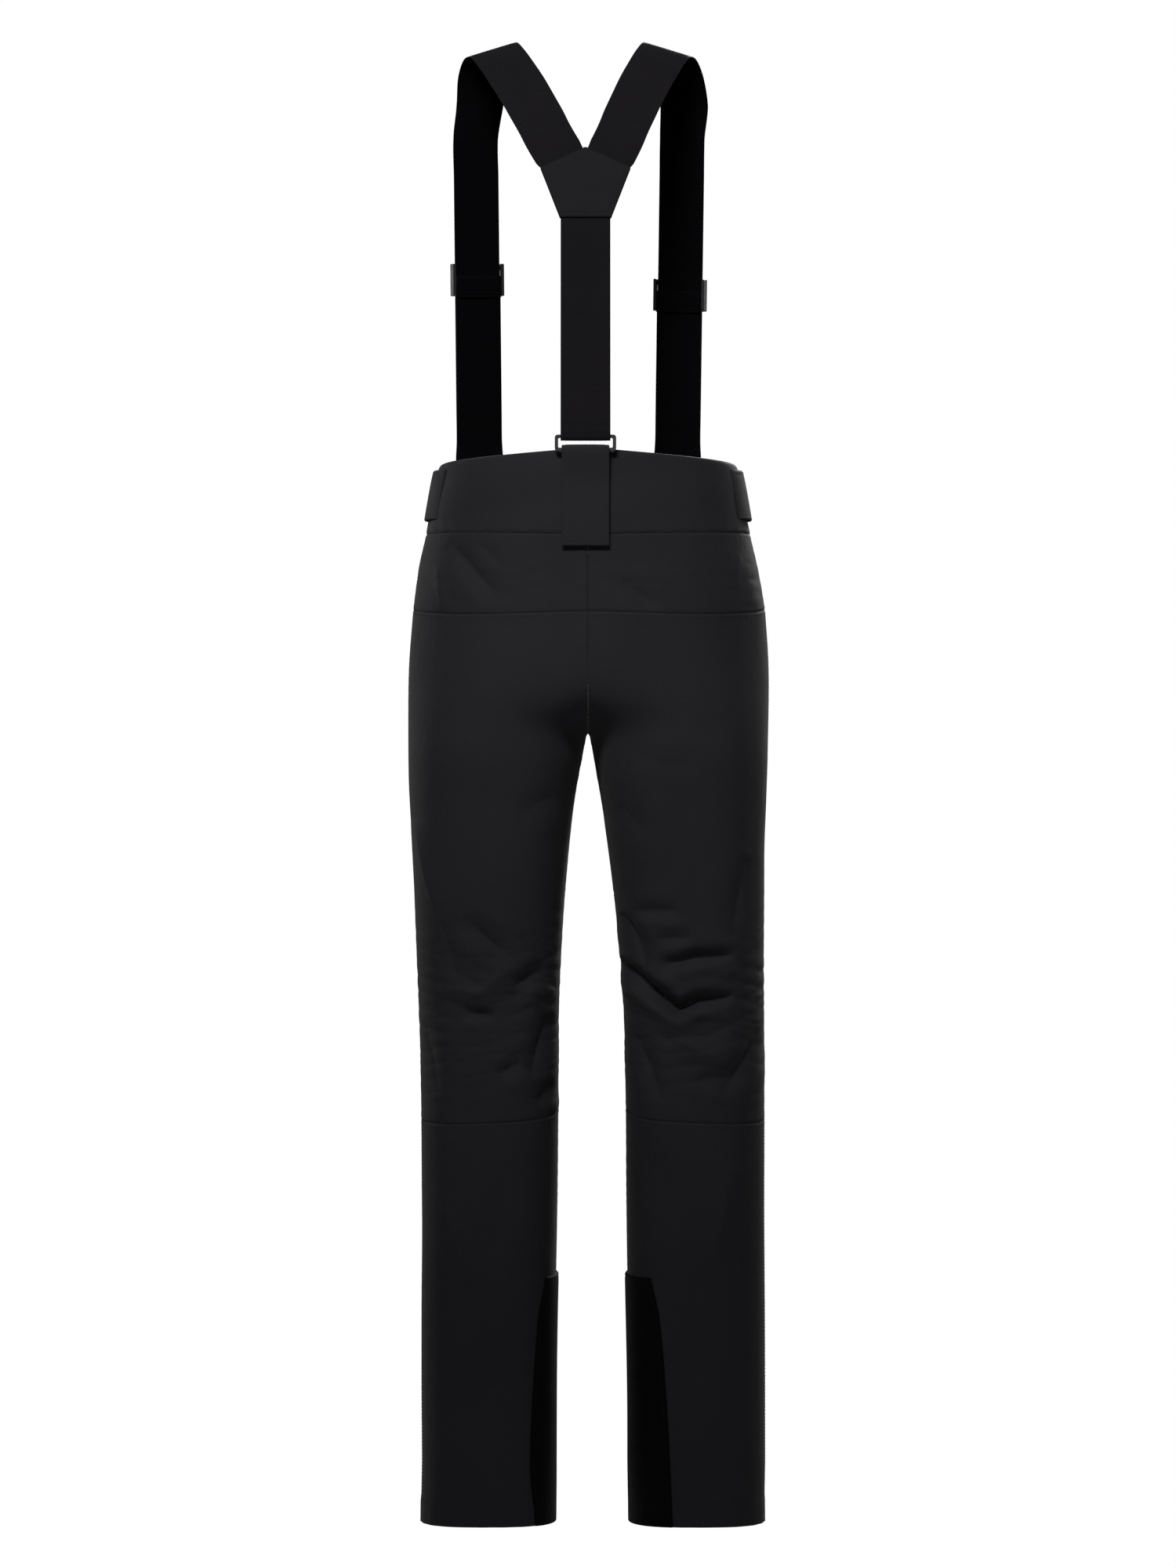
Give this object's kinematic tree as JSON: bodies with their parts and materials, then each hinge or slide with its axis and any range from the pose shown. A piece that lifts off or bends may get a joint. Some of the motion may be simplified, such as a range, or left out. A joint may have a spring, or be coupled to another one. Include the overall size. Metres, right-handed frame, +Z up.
{
  "type": "ski pants",
  "caption": "Straight-leg ski pants with a shaped waistband, detachable elastic Y-back braces, side waist tabs, zipped fly and pockets, inner snow gaiters and ankle scuff guards.",
  "frame": {"origin": "middle of the waist opening, a little below the waistband's top edge at the sides", "axes": "+Z up along the standing wearer, -Y to the wearer's front, +X to the wearer's left"},
  "size_m": [0.364, 0.2508, 1.4948],
  "materials": {
    "shell_fabric": "matt waterproof stretch shell cloth",
    "waistband_fabric": "matt shell cloth, doubled and stitched",
    "scuff_fabric": "tough black plain-weave scuff cloth",
    "lining_fabric": "smooth taffeta and brushed tricot lining",
    "elastic_webbing": "woven elastic webbing",
    "patch_fabric": "matt synthetic leather patch",
    "hook_tape": "hook tape",
    "zip_tape": "coated coil zip on woven tape",
    "moulded_plastic": "moulded acetal, satin",
    "zip_metal": "black painted die casting",
    "snap_metal": "black oxide press stud"
  },
  "bodies": {
    "root": {"left_leg_back": "shell_fabric", "left_shin_back": "shell_fabric", "left_leg_front": "shell_fabric", "left_knee_panel": "shell_fabric", "left_shin_front": "shell_fabric", "left_back_yoke": "shell_fabric", "left_scuff_guard": "scuff_fabric", "left_leg_lining": "lining_fabric", "left_snow_gaiter": "lining_fabric", "left_gaiter_elastic": "elastic_webbing", "waistband_front_left": "waistband_fabric", "left_pocket_zip_chain": "zip_tape", "left_shoulder_strap": "elastic_webbing", "left_strap_return": "elastic_webbing", "left_front_ring": "moulded_plastic", "left_front_tab": "waistband_fabric", "right_leg_back": "shell_fabric", "right_shin_back": "shell_fabric", "right_leg_front": "shell_fabric", "right_knee_panel": "shell_fabric", "right_shin_front": "shell_fabric", "right_back_yoke": "shell_fabric", "right_scuff_guard": "scuff_fabric", "right_leg_lining": "lining_fabric", "right_snow_gaiter": "lining_fabric", "right_gaiter_elastic": "elastic_webbing", "waistband_front_right": "waistband_fabric", "right_pocket_zip_chain": "zip_tape", "right_shoulder_strap": "elastic_webbing", "right_strap_return": "elastic_webbing", "right_front_ring": "moulded_plastic", "right_front_tab": "waistband_fabric", "waistband_back": "waistband_fabric", "waistband_lining": "lining_fabric", "fly_zip_chain": "zip_tape", "snap_stud_upper": "snap_metal", "snap_stud_lower": "snap_metal", "back_ring": "moulded_plastic", "back_flap_base": "waistband_fabric", "back_strap": "elastic_webbing", "y_patch_outer": "patch_fabric", "y_patch_inner": "patch_fabric"},
    "left_strap_slider": {"left_strap_slider": "moulded_plastic"},
    "right_strap_slider": {"right_strap_slider": "moulded_plastic"},
    "back_flap": {"back_flap": "waistband_fabric", "back_flap_hook": "hook_tape"},
    "left_waist_tab": {"left_waist_tab": "waistband_fabric", "left_waist_tab_hook": "hook_tape"},
    "right_waist_tab": {"right_waist_tab": "waistband_fabric", "right_waist_tab_hook": "hook_tape"},
    "fly_flap": {"fly_flap": "shell_fabric"},
    "waist_overlap": {"waist_overlap_tab": "waistband_fabric", "snap_cap_upper": "snap_metal", "snap_cap_lower": "snap_metal"},
    "fly_zip": {"fly_zip_slider": "zip_metal", "fly_zip_pull": "zip_metal"},
    "left_pocket_zip": {"left_pocket_zip_slider": "zip_metal"},
    "left_pocket_pull": {"left_pocket_zip_pull": "zip_metal"},
    "right_pocket_zip": {"right_pocket_zip_slider": "zip_metal"},
    "right_pocket_pull": {"right_pocket_zip_pull": "zip_metal"}
  },
  "joints": [
    {"name": "left_strap_slide", "type": "slide", "parent": "root", "child": "left_strap_slider", "axis": [0.0093, 0.069, 0.9976], "range_m": [-0.13, 0.095], "deforming": ["left_strap_return"]},
    {"name": "right_strap_slide", "type": "slide", "parent": "root", "child": "right_strap_slider", "axis": [-0.0122, 0.1005, 0.9949], "range_m": [-0.115, 0.115], "deforming": ["right_strap_return"]},
    {"name": "back_flap_hinge", "type": "hinge", "parent": "root", "child": "back_flap", "pos_m": [0.0025, 0.1135, 0.012], "axis": [1, 0, 0], "range_deg": [0, 125]},
    {"name": "left_waist_tab_hinge", "type": "hinge", "parent": "root", "child": "left_waist_tab", "pos_m": [0.1435, 0.0495, -0.029], "axis": [0, 0, 1], "range_deg": [0, 90]},
    {"name": "right_waist_tab_hinge", "type": "hinge", "parent": "root", "child": "right_waist_tab", "pos_m": [-0.1435, 0.0495, -0.029], "axis": [0, 0, -1], "range_deg": [0, 90]},
    {"name": "fly_flap_hinge", "type": "hinge", "parent": "root", "child": "fly_flap", "pos_m": [0.027, -0.1165, -0.15], "axis": [0, 0.0552, 0.9985], "range_deg": [0, 115]},
    {"name": "waist_overlap_hinge", "type": "hinge", "parent": "root", "child": "waist_overlap", "pos_m": [0.037, -0.1085, -0.048], "axis": [0, 0.0552, 0.9985], "range_deg": [0, 115]},
    {"name": "fly_zip_slide", "type": "slide", "parent": "root", "child": "fly_zip", "axis": [0, -0.0552, -0.9985], "range_m": [0, 0.073]},
    {"name": "left_pocket_zip_slide", "type": "slide", "parent": "root", "child": "left_pocket_zip", "axis": [0.0798, -0.0911, -0.9926], "range_m": [0, 0.118]},
    {"name": "left_pocket_pull_hinge", "type": "hinge", "parent": "left_pocket_zip", "child": "left_pocket_pull", "pos_m": [0.14186, -0.08072, -0.10574], "axis": [-0.7522, -0.6589, 0], "range_deg": [0, 150]},
    {"name": "right_pocket_zip_slide", "type": "slide", "parent": "root", "child": "right_pocket_zip", "axis": [-0.075, -0.0934, -0.9928], "range_m": [0, 0.118]},
    {"name": "right_pocket_pull_hinge", "type": "hinge", "parent": "right_pocket_zip", "child": "right_pocket_pull", "pos_m": [-0.14165, -0.08089, -0.10575], "axis": [-0.7797, 0.6262, 0], "range_deg": [0, 150]}
  ]
}
